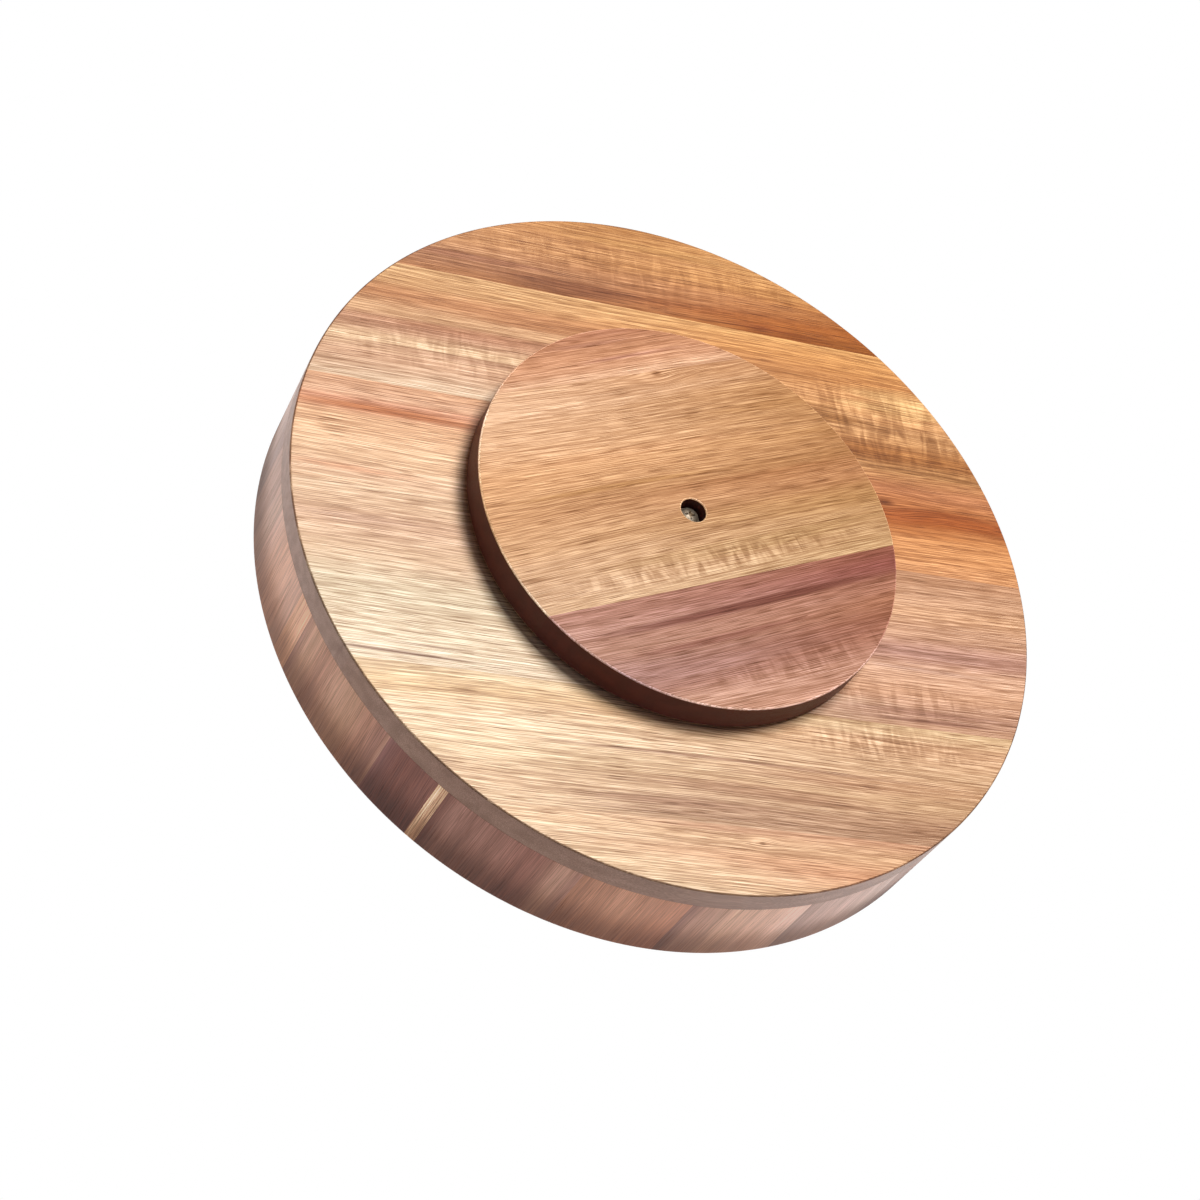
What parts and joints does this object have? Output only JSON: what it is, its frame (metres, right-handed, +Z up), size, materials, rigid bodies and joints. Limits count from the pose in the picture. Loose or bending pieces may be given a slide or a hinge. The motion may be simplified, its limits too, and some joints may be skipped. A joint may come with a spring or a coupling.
{
  "type": "lazy susan turntable",
  "caption": "Round wooden lazy susan: a deep staved tray that turns freely on a smaller round foot, on a hidden ball race and pivot screw.",
  "frame": {"origin": "centre of the foot's underside, on the surface that the turntable stands on", "axes": "+Z up along the axis that the tray turns on; +X along the grain of the tray's boards"},
  "size_m": [0.356, 0.356, 0.074],
  "materials": {
    "acacia_pale": "satin",
    "acacia_golden": "satin",
    "acacia_orange": "satin",
    "acacia_tan": "satin",
    "acacia_rose": "satin",
    "acacia_dark_red": "satin",
    "acacia_brown": "satin",
    "acacia_dark": "satin",
    "acacia_sapwood": "satin",
    "zinc_steel": "bright zinc plate",
    "polished_steel": "polished",
    "brass": "machined",
    "nylon": "moulded"
  },
  "bodies": {
    "foot": {"foot_board_1": "acacia_rose", "foot_board_2": "acacia_tan", "foot_board_3": "acacia_dark_red", "lower_race": "zinc_steel", "lower_race_screws": "zinc_steel", "pivot_bush": "brass"},
    "ball_cage": {"ball_cage": "nylon", "bearing_balls": "polished_steel"},
    "tray": {"upper_race": "zinc_steel", "upper_race_screws": "zinc_steel", "pivot_screw": "zinc_steel", "pivot_washer": "zinc_steel", "threaded_insert": "brass", "tray_board_1": "acacia_golden", "tray_board_2": "acacia_pale", "tray_board_3": "acacia_orange", "tray_board_4": "acacia_pale", "tray_board_5": "acacia_pale", "tray_board_6": "acacia_pale", "wall_stave_01": "acacia_dark", "wall_stave_02": "acacia_orange", "wall_stave_03": "acacia_brown", "wall_stave_04": "acacia_dark", "wall_stave_05": "acacia_orange", "wall_stave_06": "acacia_brown", "wall_stave_07": "acacia_dark", "wall_stave_08": "acacia_orange", "wall_stave_09": "acacia_brown", "wall_stave_10": "acacia_dark", "wall_stave_11": "acacia_orange", "wall_stave_12": "acacia_brown", "wall_stave_13": "acacia_dark", "wall_stave_14": "acacia_orange", "wall_stave_15": "acacia_brown", "wall_stave_16": "acacia_dark", "wall_stave_17": "acacia_orange", "wall_stave_18": "acacia_brown", "wall_stave_19": "acacia_dark", "wall_stave_20": "acacia_orange", "wall_stave_21": "acacia_brown", "wall_stave_22": "acacia_dark", "closing_strip": "acacia_sapwood"}
  },
  "joints": [
    {"name": "tray_spin", "type": "hinge", "parent": "foot", "child": "tray", "pos_m": [0, 0, 0.01625], "axis": [0, 0, 1], "continuous": true},
    {"name": "cage_spin", "type": "hinge", "parent": "foot", "child": "ball_cage", "pos_m": [0, 0, 0.01625], "axis": [0, 0, 1], "continuous": true}
  ],
  "couplings": [
    {"joint": "cage_spin", "follows": "tray_spin", "ratio": 0.5}
  ]
}
